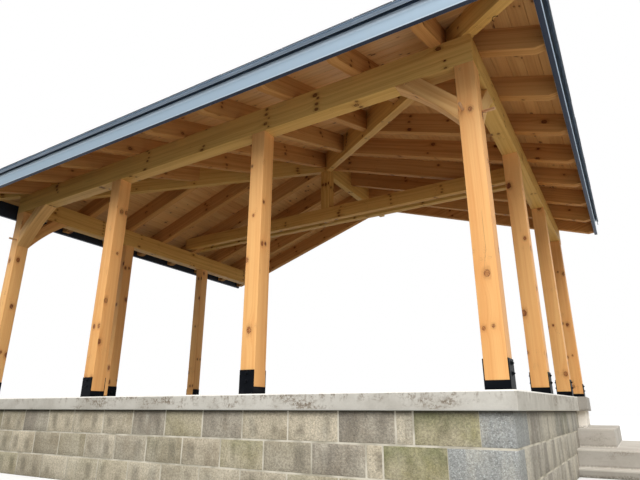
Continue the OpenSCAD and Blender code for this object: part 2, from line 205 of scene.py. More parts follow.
class Shader:
    """The nodes of one material, or of the sky."""

    def __init__(self, owner):
        owner.use_nodes = True
        self.owner = owner
        self.tree = owner.node_tree

    def feed(self, socket, value):
        if isinstance(value, Value):
            self.tree.links.new(value.socket, socket)
        elif isinstance(value, (tuple, list)) and len(value) == 3 and len(socket.default_value) == 4:
            socket.default_value = (*value, 1.0)
        else:
            socket.default_value = value

    def node(self, kind, settings=None, inputs=None):
        """A new node's outputs, by name and by number."""
        node = self.tree.nodes.new("ShaderNode" + kind)
        for name, setting in (settings or {}).items():
            setattr(node, name, setting)
        for name, value in (inputs or {}).items():
            self.feed(node.inputs[name], value)
        outputs = {}
        for number, output in enumerate(node.outputs):
            outputs[output.name] = outputs[number] = Value(self, output)
        return outputs

    def mark(self, name):
        return self.node("Attribute", {"attribute_name": name})["Vector"]

    def place(self):
        return self.node("TexCoord")["Object"]

    def split(self, vector):
        parts = self.node("SeparateXYZ", None, {"Vector": vector})
        return parts["X"], parts["Y"], parts["Z"]

    def join(self, x, y, z):
        return self.node("CombineXYZ", None, {"X": x, "Y": y, "Z": z})["Vector"]

    def facing(self):
        """Which way the surface faces: to the right, to the back and up."""
        return self.split(self.node("NewGeometry")["Normal"])

    def seen(self):
        """1 where the camera looks, also through gloss or glass, and 0 for light on the canopy."""
        path = self.node("LightPath")
        return path["Is Camera Ray"].most(path["Is Glossy Ray"]).most(path["Is Transmission Ray"])

    def noise(self, where, scale, detail=2.0, rough=0.5):
        inputs = {"Vector": where, "Scale": scale, "Detail": detail, "Roughness": rough}
        return self.node("TexNoise", None, inputs)["Fac"]

    def cells(self, where, scale):
        """Distance from the middle of a scattered cell, and three numbers of the cell's own."""
        made = self.node("TexVoronoi", None, {"Vector": where, "Scale": scale, "Randomness": 1.0})
        return made["Distance"], self.split(made["Color"])

    def chance(self, x, y, z):
        """Three numbers, 0 to 1, that differ wherever x, y or z does."""
        where = self.join(x, y, z)
        return self.split(self.node("TexWhiteNoise", {"noise_dimensions": "3D"}, {"Vector": where})["Color"])

    def mix(self, share, first, second, blend="MIX"):
        settings = {"data_type": "RGBA", "blend_type": blend}
        return self.node("Mix", settings, {0: share, 6: first, 7: second})[2]

    def coats(self, colour, *coats):
        """The colour with coats over it, one after the other, each as its share and its own colour."""
        for share, coat in coats:
            colour = self.mix(share, colour, coat)
        return colour

    def dim(self, colour, factor):
        """The colour times a number worked out by the material."""
        return self.mix(1.0, colour, self.join(factor, factor, factor), "MULTIPLY")

    def bump(self, height, distance):
        """The surface raised by height, 0 to 1, times distance in metres."""
        return self.node("Bump", None, {"Height": height, "Distance": distance, "Strength": 1.0})["Normal"]

    def finish(self, **sockets):
        """The material, with the sockets of its Principled shader set."""
        surface = self.tree.nodes["Principled BSDF"]
        for name, value in sockets.items():
            self.feed(surface.inputs[name.replace("_", " ")], value)
        return self.owner


def new_material(name):
    return Shader(bpy.data.materials.new(name))


# Materials

def nearest_knot(s, along, across, face, knots, whorl, row, size):
    """How far off the nearest knot is in its radii, that radius, the knot's number and its wobble."""
    start = face * 3.1
    turn = (along / whorl + start).whole()
    whorl_at, whorl_there, whorl_shift = s.chance(turn, face * 1.7, 0.0)
    shift = whorl_shift * 7.0
    lane = (across / row + shift).whole()
    knot_there, knot_size, knot_at = s.chance(turn, lane, face)
    away_along = along - (turn + 0.2 + whorl_at * 0.6 - start) * whorl + (knot_size - 0.5) * 0.05
    away_across = across - (lane + 0.28 + knot_at * 0.44 - shift) * row
    wobble = s.noise(s.join(along * 70.0, across * 70.0, face), 1.0)
    there = whorl_there.above(0.20) * knot_there.above(1.0 - knots)
    radius = (knot_size ** 1.5 * 0.0092 + 0.0058) * there * size + 0.0002
    away = ((away_along * 0.78) ** 2.0 + away_across ** 2.0) ** 0.5 * (wobble * 0.6 + 0.7) / radius
    return away, radius, knot_at, wobble


def wood(name, pale, deep, knot, gloss, knots=0.5, streak=1.0, whorl=0.42, row=0.042, size=1.0, shine=0.2):
    """Clear-stained pine. The mark 'grain' gives metres along and across each face and the face's number.

    Knots sit side by side in whorls. Knots is the share of places that have one, row the metres from place
    to place, whorl the metres from one whorl to the next, size how large knots are, and streak how strongly
    the grain shows."""
    s = new_material(name)
    along, across, face = s.split(s.mark("grain"))
    shade, hue, end = s.split(s.mark("piece"))
    away, radius, knot_number, wobble = nearest_knot(s, along, across, face, knots, whorl, row, size)
    knot_here = away.step(1.12, 0.88)
    knot_heart = away.step(0.86, 0.62) * (wobble * 0.8 + 0.3) * knot_number.above(0.22)
    knot_rim = away.step(2.4, 1.0) * (1.0 - knot_here)
    swirl = away.step(7.0, 0.5)

    sway = s.noise(s.join(along * 0.9, across * 4.0, face * 7.0), 1.0)
    bent = across + (sway - 0.5) * 0.05 + swirl * radius * 1.2
    wide = s.noise(s.join(along * 0.45, bent * 30.0, face * 11.0), 1.0, 3.0, 0.55)
    ring = s.noise(s.join(along * 1.1, bent * 160.0, face * 5.0), 1.0, 3.0, 0.6)
    fibre = s.noise(s.join(along * 9.0, across * 900.0, face), 1.0, 2.0, 0.6)
    cloud = s.noise(s.join(along * 1.5, across * 2.2, face * 2.0), 1.0, 3.0)
    crack = s.noise(s.join(along * 1.3, bent * 120.0, face * 13.0), 1.0, 1.0).step(0.775, 0.81)

    dark = (wide.step(0.36, 0.68) * 0.42 + ring.step(0.42, 0.72) * 0.26 + (fibre - 0.5) * 0.20) * streak
    dark = dark + (cloud - 0.5) * 0.36 + (shade - 0.5) * 0.30 + swirl * 0.16 + end * 0.35
    colour = s.mix(dark.least(1.0).most(0.0), pale, deep)
    redder = s.mix(1.0, colour, (1.06, 0.93, 0.84), "MULTIPLY")
    red_brown = tuple(0.58 * a + 0.42 * b for a, b in zip(knot, deep))
    colour = s.coats(
        colour,
        (hue * 0.5, redder),
        (knot_rim * 0.42, red_brown),
        (knot_here * 0.94, knot),
        (knot_heart.least(1.0), red_brown),
        # Painted shade in the cracks.
        (crack * 0.50, knot),
    )
    height = fibre * 0.35 + ring * 0.45 - knot_here * 0.3 - crack * 1.2
    return s.finish(Base_Color=colour, Roughness=ring * 0.14 + gloss - 0.07, Specular_IOR_Level=shine,
                    Normal=s.bump(height, 0.0005))


def block_material():
    """Coarse concrete block. The mark 'piece' gives each block its own tone, moss and blueness.

    Blocks between tan and blue, as at the sides, have dark and pale streaks that run down."""
    s = new_material("split_block")
    where = s.place()
    x, y, z = s.split(where)
    tone, moss, blue = s.split(s.mark("piece"))
    grit = s.noise(where, 170.0, 3.0, 0.75)
    stones = s.noise(where, 62.0, 2.0, 0.7)
    speck = s.noise(where, 210.0, 1.0)
    pit, _ = s.cells(where, 95.0)
    patch = s.noise(where, 4.6, 4.0, 0.6)
    damp = s.noise(where, 2.7, 3.0)
    wash = s.noise(s.join(x * 8.0, y * 8.0, z * 1.5), 1.0, 3.0, 0.6)
    streak = s.noise(s.join(x * 4.0 + tone * 9.0, y * 4.0 + tone * 9.0, z * 1.2), 1.0, 3.0, 0.55)
    streaked = blue * (1.0 - blue) * 4.0
    rise = (z / COURSE).part()
    core = ((x + y) * (4.0 * pi / BLOCK_PITCH) + 0.9).wave() * 0.5 + 0.5
    core = core.step(0.35, 1.0) * rise.step(0.02, 0.34) * rise.step(0.98, 0.66)
    damp_core = core * damp.step(0.44, 0.58) * (1.0 - blue * 1.6).most(0.0)
    # Under the slab: darker towards it in washed streaks, partly stains and partly painted shade, and a
    # painted shadow line right under its lip.
    under_slab_stain_and_shade = z.step(BASE_TOP - 0.0496, BASE_TOP + 0.0024) * (wash * 1.3 + 0.1)
    under_slab_stain_and_shade = under_slab_stain_and_shade + z.step(BASE_TOP - 0.0156, BASE_TOP - 0.0056)
    colour = s.coats(
        tint(203, 190, 167),
        (tone, tint(139, 128, 111)),
        (blue * 0.80, tint(149, 153, 155)),
        (patch.step(0.45, 0.72) * (0.45 - blue * 0.35), tint(124, 108, 86)),
        (damp_core * 0.55, tint(98, 90, 78)),
        (streak.step(0.50, 0.38) * streaked * 0.55, tint(112, 104, 95)),
        (wash.step(0.50, 0.80) * 0.40 + streak.step(0.50, 0.62) * streaked * 0.35, tint(222, 213, 194)),
        (speck.step(0.60, 0.70) * blue * 0.75, tint(214, 218, 216)),
        (moss * (patch.step(0.34, 0.64) * 0.35 + 0.35), tint(140, 136, 74)),
        (moss * rise.step(0.25, 0.95) * (damp.step(0.42, 0.60) * 0.65 + 0.10), tint(80, 92, 40)),
        (under_slab_stain_and_shade.least(1.0) * 0.80, tint(62, 56, 44)),
    )
    colour = s.dim(colour, 0.60 + grit.step(0.30, 0.72) * 0.36 + stones.step(0.32, 0.68) * 0.34)
    # Painted shade in the pits.
    colour = s.mix(pit.step(0.20, 0.06) * 0.60, colour, tint(62, 57, 50))
    height = grit * 0.7 + stones * 0.9 + pit.step(0.05, 0.35) * 0.8
    return s.finish(Base_Color=colour, Roughness=0.93, Normal=s.bump(height, 0.0030))


def mortar_material():
    s = new_material("mortar")
    where = s.place()
    sand = s.noise(where, 260.0, 3.0, 0.7)
    patch = s.noise(where, 7.0, 3.0)
    colour = s.mix(patch.step(0.35, 0.72), tint(213, 205, 188), tint(164, 156, 138))
    colour = s.dim(colour, 0.86 + sand * 0.24)
    return s.finish(Base_Color=colour, Roughness=0.95, Normal=s.bump(sand, 0.0012))


def drips(s, colour, stain, where, speck, edge):
    """Stains that run down from a slab's top edge, and a painted highlight along that edge above them."""
    x, y, z = s.split(where)
    drip = s.noise(s.join(x * 16.0, y * 16.0, z * 4.0), 1.0, 4.0, 0.65)
    above_edge = z - y * SLAB_FALL + SLAB_FALL * SLAB_FRONT - edge
    run = above_edge.step(-0.085, -0.004) * drip.step(0.50, 0.62) * speck.step(0.38, 0.58)
    # Painted highlight: a near-white band along the top edge.
    arris_highlight = above_edge.step(-0.012, -0.007)
    return s.coats(colour, (run * 0.80, stain), (arris_highlight * 0.85, tint(246, 243, 236)))


def pour_marks(s, colour, z, upright, speck, pours):
    """A factor for the upright faces of each pour, painting shade on them and light where it is above 1,
    with painted shade at their foot and a painted highlight on the nosing where it starts.
    """
    below = 1.0
    for height, tone, nosing_highlight in pours:
        here = z.step(height - 0.004, height + 0.004) * upright
        # Painted shade in the crease at the foot of the upright faces, broken up in patches.
        foot_shade = here * z.step(height + 0.034, height + 0.003) * speck.step(0.34, 0.56)
        # Painted highlight along the nosing.
        nosing = z.step(height - 0.022, height - 0.010) * z.step(height + 0.020, height + 0.006)
        # Painted shade on the upright faces, and painted light on the landing's support where the slab
        # shades it.
        colour = s.dim(colour, 1.0 + here * (tone / below - 1.0))
        colour = s.coats(colour, (foot_shade * 0.70, tint(84, 76, 64)), (nosing * nosing_highlight, tint(244, 237, 226)))
        below = tone
    return colour


def concrete(name, pale, dull, stain, stains, edge=0.0, foot=0.0, worn=0.2, pours=()):
    """Poured concrete: fine sand, small air holes, clouds and rusty or damp stains.

    Drips run down from a top edge at height edge, under a painted highlight along that edge, the first few
    millimetres above foot are pale, and worn is how much feet have dulled the top. Each of the pours is a
    height, a factor for the upright faces above it, which paints shade on them and paints light where it is
    above 1, and the strength of the painted highlight on its nosing; painted shade also darkens the foot of
    those faces."""
    s = new_material(name)
    where = s.place()
    x, y, z = s.split(where)
    _, _, facing = s.facing()
    sand = s.noise(where, 240.0, 3.0, 0.7)
    coarse = s.noise(where, 75.0, 3.0, 0.7)
    cloud = s.noise(where, 2.6, 5.0, 0.62)
    blot = s.noise(s.join(x * 1.6, y * 1.6, z * 5.0), 1.0, 6.0, 0.7)
    speck = s.noise(where, 55.0, 3.0, 0.7)
    hole, (hole_pick, _, _) = s.cells(where, 34.0)
    hole_here = hole.step(0.10, 0.04) * hole_pick.above(0.80)
    colour = s.coats(
        pale,
        (cloud.step(0.35, 0.70), dull),
        (blot.step(0.51, 0.66) * speck.step(0.42, 0.58) * stains, stain),
    )
    if edge:
        colour = drips(s, colour, stain, where, speck, edge)
    colour = pour_marks(s, colour, z, facing.step(0.75, 0.35), speck, pours)
    trodden = s.mix(cloud.step(0.38, 0.66), tint(168, 162, 151), tint(146, 138, 126))
    colour = s.mix(facing.step(0.90, 0.99) * worn, colour, trodden)
    colour = s.dim(colour, 0.86 + sand * 0.14 + coarse * 0.14)
    # Painted shade in the air holes.
    colour = s.mix(hole_here * 0.7, colour, tint(92, 86, 78))
    if foot:
        colour = s.mix(z.step(foot + 0.010, foot + 0.004) * 0.7, colour, tint(226, 222, 212))
    height = sand * 0.3 + cloud * 0.6 + coarse * 0.5 - hole_here * 1.2
    return s.finish(Base_Color=colour, Roughness=cloud * 0.12 + 0.80, Normal=s.bump(height, 0.0014))


def gravel_material():
    s = new_material("packed_gravel")
    stone_distance, (pick, _, _) = s.cells(s.place(), 45.0)
    colour = s.mix(pick, tint(150, 142, 128), tint(104, 96, 84))
    # Painted shade between the stones.
    colour = s.mix(stone_distance.step(0.35, 0.75), colour, tint(70, 62, 52))
    return s.finish(Base_Color=colour, Roughness=0.95, Normal=s.bump(stone_distance, 0.006))


def coated_steel(name, colour, worn, gloss):
    """Powder coat: a fine orange-peel skin and a little dust."""
    s = new_material(name)
    where = s.place()
    peel = s.noise(where, 420.0)
    dust = s.noise(where, 14.0, 4.0, 0.65)
    shade = s.mix(dust.step(0.52, 0.80) * 0.30, colour, worn)
    return s.finish(Base_Color=shade, Roughness=dust * 0.20 + gloss, Specular_IOR_Level=0.05,
                    Normal=s.bump(peel, 0.0004))


def cladding(name, colour, dusty, below, inner, gloss, metallic, foot=0.0, painted_light_top=0.0):
    """Coated sheet metal on the eaves: long faint dents and dust washed down in streaks.

    Painted shade makes it darker where it faces the ground, and darkest where it faces in under the roof.
    Above foot it has a painted highlight on its folded edge, painted light that makes it paler to the top
    where the trim shades it, and painted shade in the rebate over its face. On its hem and close under the
    shingles, whose height is its last argument, painted light makes it paler."""
    s = new_material(name)
    where = s.place()
    x, y, z = s.split(where)
    rightward, backward, facing = s.facing()
    dent = s.noise(s.join(x * 2.2, y * 2.2, z * 9.0), 1.0)
    wash = s.noise(s.join(x * 26.0, y * 26.0, z * 3.0), 1.0, 3.0, 0.6)
    fine = s.noise(where, 320.0)
    shade = s.mix(wash.step(0.48, 0.80) * 0.25, colour, dusty)
    if foot:
        rebate = foot + FASCIA_HIGH
        # Painted highlight on the folded lower edge, painted light paler towards the top where the trim
        # shades the face, and painted shade in the rebate.
        shade = s.coats(
            shade,
            (z.step(foot + 0.016, foot + 0.004) * 0.55, tint(206, 216, 224)),
            (z.step(foot + 0.098, foot + 0.128), tint(226, 241, 254)),
            (z.step(rebate - 0.0015, rebate + 0.0010), tint(116, 136, 164)),
        )
    if painted_light_top:
        # Painted light close under the shingles and on faces that point up, such as the hem.
        shade = s.coats(
            shade,
            (z.step(painted_light_top - 0.030, painted_light_top - 0.006), tint(176, 191, 206)),
            (facing.step(0.35, 0.60), tint(176, 190, 206)),
        )
    # Painted shade on faces towards the ground and, darkest, on faces in under the roof.
    inward = (-(rightward * x.sign())).most(backward)
    shade = s.coats(shade, (facing.step(-0.76, -0.94), below), (inward.step(0.75, 0.95), inner))
    return s.finish(Base_Color=shade, Roughness=wash * 0.12 + gloss, Metallic=metallic,
                    Normal=s.bump(dent * 0.9 + fine * 0.1, 0.0016))


def shingle_material():
    """Asphalt shingle with mineral granules, each tab a little lighter or darker, with painted light on its
    undersides, palest below in front.
    """
    s = new_material("shingle_granules")
    where = s.place()
    tone, spotted, _ = s.split(s.mark("piece"))
    _, backward, facing = s.facing()
    grain, (pick, other, _) = s.cells(where, 620.0)
    blot = s.noise(where, 11.0, 4.0, 0.65)
    # Painted light on the undersides, palest under the front slope.
    underside = s.mix(backward.step(0.10, 0.25), tint(112, 120, 128), tint(214, 228, 240))
    colour = s.coats(
        tint(76, 79, 85),
        (tone, tint(108, 110, 114)),
        (pick.step(0.55, 0.95) * 0.55, tint(140, 141, 142)),
        (other.step(0.60, 0.90) * 0.60, tint(30, 31, 34)),
        (blot.step(0.45, 0.75) * spotted * 0.55, tint(50, 49, 50)),
        (facing.step(-0.60, -0.90), underside),
    )
    return s.finish(Base_Color=colour, Roughness=0.94, Normal=s.bump(grain, 0.0016))


POST_WOOD = wood("post_pine", tint(253, 197, 127), tint(226, 147, 78), tint(98, 38, 18), 0.50,
                 knots=0.52, streak=0.75, whorl=0.52, row=0.070, size=1.60, shine=0.25)
BEAM_WOOD = wood("beam_pine", tint(219, 177, 103), tint(172, 120, 53), tint(80, 30, 14), 0.56,
                 knots=0.66, whorl=0.78, row=0.046, size=1.25, shine=0.12)
RAFTER_WOOD = wood("rafter_pine", tint(206, 155, 96), tint(158, 101, 47), tint(74, 28, 12), 0.60,
                   knots=0.46, whorl=0.62, row=0.055, size=1.35, shine=0.06)
BRACE_WOOD = wood("brace_pine", tint(240, 193, 127), tint(200, 136, 73), tint(98, 40, 18), 0.54,
                  knots=0.40, whorl=0.50, row=0.060, size=1.4)
PEG_WOOD = wood("peg_hardwood", tint(222, 184, 142), tint(156, 102, 62), tint(90, 50, 30), 0.46,
                knots=0.0)
BOARD_WOOD = wood("roof_board_pine", tint(221, 173, 113), tint(177, 121, 66), tint(66, 26, 12), 0.54,
                  knots=0.32, streak=0.80, whorl=0.36, shine=0.25)
BLOCK = block_material()
MORTAR_FACE = mortar_material()
SLAB_CONCRETE = concrete("slab_concrete_face", tint(199, 194, 184), tint(177, 171, 160),
                         tint(106, 89, 68), 0.85, edge=SLAB_TOP_FRONT, foot=BASE_TOP, worn=0.75)
# Each pour: its height, the factor for its upright faces, which is painted shade on the risers and the
# landing block and painted light (1.60) on the landing's support in the slab's shade, and the strength of
# the painted highlight on its nosing.
STEP_POUR_SHADING = ((0.0, 0.63, 0.0), (0.080, 0.72, 0.40), (0.2496, 0.83, 0.45), (0.4316, 1.60, 0.12),
              (BASE_TOP, 0.68, 0.0))
STEP_CONCRETE = concrete("step_concrete_face", tint(207, 201, 192), tint(188, 181, 170),
                         tint(122, 108, 90), 0.55, worn=0.55, pours=STEP_POUR_SHADING)
GRAVEL = gravel_material()
BLACK_STEEL = coated_steel("black_coat", tint(8, 11, 16), tint(46, 48, 52), 0.36)
BOLT_STEEL = coated_steel("bolt_coat", tint(18, 20, 24), tint(84, 82, 80), 0.24)
# Dark flange metal on the outermost boards; it also serves as painted shade in the slot over the fascia.
EAVE_FLANGE_SHADE = coated_steel("eave_flange_shade", tint(24, 28, 34), tint(52, 56, 60), 0.45)
HOOK_STEEL = coated_steel("hook_steel", tint(58, 32, 26), tint(104, 66, 50), 0.40)
FASCIA_METAL = cladding("fascia_cladding", tint(158, 177, 193), tint(167, 181, 191), tint(36, 47, 66),
                        tint(24, 30, 40), 0.58, 0.35, foot=FASCIA_FOOT)
TRIM_METAL = cladding("edge_metal", tint(104, 116, 129), tint(118, 129, 139), tint(40, 46, 56),
                      tint(20, 24, 32), 0.42, 0.45, painted_light_top=TRIM_TOP)
FLASHING_METAL = cladding("flashing_sheet", tint(140, 144, 148), tint(176, 178, 180),
                          tint(110, 114, 118), tint(120, 124, 128), 0.38, 0.70)
SHINGLE = shingle_material()


# Pieces

def islands(bm):
    """The faces of each separate solid in a mesh."""
    bm.faces.ensure_lookup_table()
    found = set()
    for first in bm.faces:
        if first in found:
            continue
        found.add(first)
        group = []
        todo = [first]
        while todo:
            face = todo.pop()
            group.append(face)
            for edge in face.edges:
                for other in edge.link_faces:
                    if other not in found:
                        found.add(other)
                        todo.append(other)
        yield group


def mark_pieces(bm, chance, tone=None):
    """Gives each solid three numbers of its own, 0 to 1, that materials read as 'piece'."""
    layer = bm.faces.layers.float_vector.new("piece")
    for group in islands(bm):
        centre = sum((face.calc_center_median() for face in group), Vector()) / len(group)
        numbers = tone(centre, chance) if tone else Vector((chance.random(), chance.random(), 0.0))
        for face in group:
            face[layer] = numbers


def mark_grain(bm, along, chance):
    """Metres along and across the grain on each face, from the direction in which the timber runs."""
    piece = bm.faces.layers.float_vector.new("piece")
    grain = bm.loops.layers.float_vector.new("grain")
    run = Vector(along).normalized()
    level = run.cross(Vector((0, 0, 1)))
    side = level.normalized() if level.length > 0.1 else Vector((1, 0, 0))
    other = run.cross(side)
    bm.normal_update()
    for group in islands(bm):
        shade, hue, start = chance.random(), chance.random(), chance.uniform(0.0, 40.0)
        numbers = [chance.uniform(0.0, 9.0) for _ in range(4)]
        for face in group:
            ends, on_side, on_other = (face.normal.dot(way) for way in (run, side, other))
            is_end = abs(ends) > 0.75
            if is_end:
                first, second, number = side, other, numbers[0]
            elif abs(on_side) > abs(on_other):
                first, second, number = run, other, numbers[1 + (on_side > 0)]
            else:
                first, second, number = run, side, numbers[0] + (3.7 if on_other > 0 else 0.0)
            face[piece] = Vector((shade, hue, 1.0 if is_end else 0.0))
            for loop in face.loops:
                at = loop.vert.co
                loop[grain] = Vector((at.dot(first) + start, at.dot(second), number))


def new_object(name, data):
    made = bpy.data.objects.new(name, data)
    scene.collection.objects.link(made)
    return made


def add_piece(name, bm, materials, slot, *nodes, smooth=35.0):
    """A finished mesh. It rides on the canopy and replaces its CAD nodes. Its slot is not used."""
    mesh = bpy.data.meshes.new(name)
    bm.to_mesh(mesh)
    bm.free()
    for material in materials:
        mesh.materials.append(material)
    mesh.shade_smooth()
    mesh.set_sharp_from_angle(angle=radians(smooth))
    piece = new_object(name, mesh)
    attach(piece, "root")
    if nodes:
        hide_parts(*nodes)


def eased_copy(node, ease, segments=2):
    """A CAD node's solids with their edges eased."""
    bm = bmesh.new()
    bm.from_mesh(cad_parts[node].data)
    bmesh.ops.remove_doubles(bm, verts=bm.verts, dist=0.00002)
    bmesh.ops.dissolve_limit(bm, angle_limit=radians(0.6), verts=bm.verts, edges=bm.edges)
    sharp = [e for e in bm.edges if len(e.link_faces) == 2 and e.calc_face_angle() > radians(30.0)]
    bmesh.ops.bevel(bm, geom=sharp, offset=ease, segments=segments, profile=0.6, affect="EDGES",
                    clamp_overlap=True)
    return bm


def timber(node, along, material, slot, ease=0.0025):
    bm = eased_copy(node, ease)
    mark_grain(bm, along, Random(node))
    add_piece(node + "_timber", bm, [material], slot, node)


def skin(bm, rings, foot=True):
    """Faces from each ring of corners to the next, over the last and, with a foot, over the first."""
    for near, far in zip(rings, rings[1:]):
        for i in range(len(near)):
            j = (i + 1) % len(near)
            bm.faces.new((near[i], near[j], far[j], far[i]))
    if foot:
        bm.faces.new(list(reversed(rings[0])))
    bm.faces.new(rings[-1])


def cut(bm, point, way):
    """Takes off what lies beyond a plane, which faces the given way, and closes the holes."""
    everything = bm.verts[:] + bm.edges[:] + bm.faces[:]
    bmesh.ops.bisect_plane(bm, geom=everything, dist=1e-6, plane_co=point, plane_no=way, clear_outer=True)
    bmesh.ops.holes_fill(bm, edges=[e for e in bm.edges if e.is_boundary])


# Block base. Head joints of the front wall in metres along X. Courses are counted from the ground.
TOP_JOINTS = (-2.319, -1.908, -1.495, -1.097, -0.662, -0.268, 0.128, 0.541, 0.942, 1.352, 1.758, 2.169,
              2.286)
MIDDLE_JOINTS = (-2.086, -1.679, -1.272, -0.874, -0.467, -0.071, 0.342, 0.741, 1.146, 1.551, 1.958, 2.075)
# Front blocks that stand out by their tone: from and to in metres along X, and the course.
MOSSY = ((2.29, 2.70, 2), (2.08, 2.49, 1), (0.13, 0.54, 2), (0.74, 1.15, 1), (0.35, 0.74, 0))
DARK = ((1.76, 2.17, 2), (0.54, 0.94, 2), (-0.27, 0.13, 2), (-1.91, -1.50, 2), (1.55, 1.96, 1))
PALE = ((2.17, 2.29, 2), (1.35, 1.76, 2), (-1.10, -0.66, 2), (-1.50, -1.10, 2), (1.96, 2.08, 1),
        (-2.09, -1.68, 1))


def block_tone(centre, chance):
    """Most blocks are tan or grey, the ones at the right front corner bluish, and some are mossy."""
    course = int(centre.z / COURSE)
    front = centre.y < FRONT + WALL_THICK

    def among(blocks):
        return front and any(start < centre.x < end and course == row for start, end, row in blocks)

    tone, moss, blue = chance.uniform(0.0, 0.55), chance.uniform(0.0, 0.28), chance.uniform(0.0, 0.12)
    if centre.x > 2.60 and centre.y < FRONT + BLOCK_PITCH / 2 and course:
        tone, moss, blue = 0.40, 0.05, 1.0
    elif among(MOSSY):
        tone, moss, blue = 0.25, 0.42 + 0.33 * (centre.x > 2.0), 0.0
    elif among(DARK):
        tone, moss, blue = 0.72, 0.0, 0.15
    elif among(PALE):
        tone, moss, blue = 0.0, 0.05, 0.0
    elif not front and centre.x > 0 and course == 2 and centre.y > -0.83:
        tone, blue = 0.62, 0.6
    elif not front:
        tone, moss, blue = chance.uniform(0.0, 0.25), 0.0, 0.45
    return Vector((tone, moss, blue))


def between(cuts):
    """Where blocks start and end between the middles of joints."""
    return [(a + MORTAR / 2, b - MORTAR / 2) for a, b in zip(cuts, cuts[1:])]


def even_cuts(low, high):
    """Middles of evenly spaced joints from low to high, about a block apart."""
    count = round((high - low) / BLOCK_PITCH)
    return [low + (high - low) * i / count for i in range(count + 1)]


def wall_runs():
    """Course and two corners in plan of every block. Every other course has its corner blocks turned."""
    long_block, short_block = BLOCK_PITCH - MORTAR, WALL_THICK
    for course in range(COURSES):
        turned = course != 1
        in_x, in_y = (short_block, long_block) if turned else (long_block, short_block)
        for side in (-1, 1):
            x0, x1 = sorted((side * HALF_WIDTH, side * (HALF_WIDTH - in_x)))
            yield course, (x0, FRONT), (x1, FRONT + in_y)
            yield course, (x0, BACK - in_y), (x1, BACK)
        edge = HALF_WIDTH - in_x
        joints = [x for x in (TOP_JOINTS if turned else MIDDLE_JOINTS) if abs(x) < edge - 0.08]
        for x0, x1 in between([-edge - MORTAR / 2, *joints, edge + MORTAR / 2]):
            yield course, (x0, FRONT), (x1, FRONT + WALL_THICK)
        for x0, x1 in between(even_cuts(-edge - MORTAR / 2, edge + MORTAR / 2)):
            yield course, (x0, BACK - WALL_THICK), (x1, BACK)
        for y0, y1 in between(even_cuts(FRONT + in_y + MORTAR / 2, BACK - in_y - MORTAR / 2)):
            for side in (-1, 1):
                x0, x1 = sorted((side * HALF_WIDTH, side * (HALF_WIDTH - WALL_THICK)))
                yield course, (x0, y0), (x1, y1)


def lattice(low, high, edge, step):
    """Grid lines along a block's side: at its ends, one edge in from them, and evenly between."""
    inner = high - low - 2.0 * edge
    count = max(1, round(inner / step))
    return [low] + [low + edge + inner * i / count for i in range(count + 1)] + [high]


def stone(bm, low, high, edge, step, rough, seed, material=0):
    """A cast block: a box with worn edges whose faces are a little uneven."""
    lines = [lattice(low[i], high[i], edge, step) for i in range(3)]
    last = [len(line) - 1 for line in lines]
    made = {}

    def vertex(key):
        if key not in made:
            at = Vector([lines[i][key[i]] for i in range(3)])
            outer = [i for i in range(3) if key[i] in (0, last[i])]
            pull = 0.0 if len(outer) < 2 else edge * (0.35 if len(outer) == 2 else 0.5)
            uneven = abs(noise.noise(at * 23.0 + Vector((seed, seed * 0.7, seed * 1.3)))) * rough
            if pull:
                chip = max(0.0, noise.noise(at * 61.0 - Vector((seed, 0.0, seed))) - 0.30) * edge
                uneven = 0.0 if 2 in outer else chip
            for i in outer:
                inward = 1.0 if key[i] == 0 else -1.0
                at[i] += inward * (pull + uneven)
            made[key] = bm.verts.new(at)
        return made[key]

    for axis in range(3):
        first, second = [i for i in range(3) if i != axis]
        for end in (0, last[axis]):
            for i in range(last[first]):
                for j in range(last[second]):
                    corners = []
                    for a, b in ((i, j), (i + 1, j), (i + 1, j + 1), (i, j + 1)):
                        key = [0, 0, 0]
                        key[axis], key[first], key[second] = end, a, b
                        corners.append(vertex(tuple(key)))
                    if (end == 0) == (axis != 1):
                        corners.reverse()
                    bm.faces.new(corners).material_index = material


def make_walls():
    """Single blocks, and mortar between them to just behind their faces."""
    bm = bmesh.new()
    for number, (course, low, high) in enumerate(wall_runs()):
        bottom = course * COURSE + (MORTAR / 2 if course else 0.0)
        top = (course + 1) * COURSE - (MORTAR / 2 if course < COURSES - 1 else 0.0)
        stone(bm, (*low, bottom), (*high, top), edge=0.0045, step=0.055, rough=0.0009, seed=number * 3.17)
    front, back = FRONT + SETBACK, BACK - SETBACK
    across, thick = HALF_WIDTH - SETBACK, WALL_THICK - 2 * SETBACK
    for low, high in (((-across, front), (across, front + thick)),
                      ((-across, back - thick), (across, back)),
                      ((-across, front + thick), (-across + thick, back - thick)),
                      ((across - thick, front + thick), (across, back - thick))):
        stone(bm, (*low, SETBACK), (*high, BASE_TOP - SETBACK), edge=0.004, step=0.120,
              rough=0.0004, seed=5.0, material=1)
    mark_pieces(bm, Random(7), block_tone)
    add_piece("block_walls", bm, [BLOCK, MORTAR_FACE], "block",
              "front_wall", "left_wall", "right_wall", "back_wall", smooth=50.0)


def make_slab_and_steps():
    slab, steps = eased_copy("slab", 0.010, 4), eased_copy("entry_steps", 0.014, 4)
    add_piece("slab_pour", slab, [SLAB_CONCRETE], "slab_concrete", "slab")
    add_piece("steps_pour", steps, [STEP_CONCRETE], "step_concrete", "entry_steps")


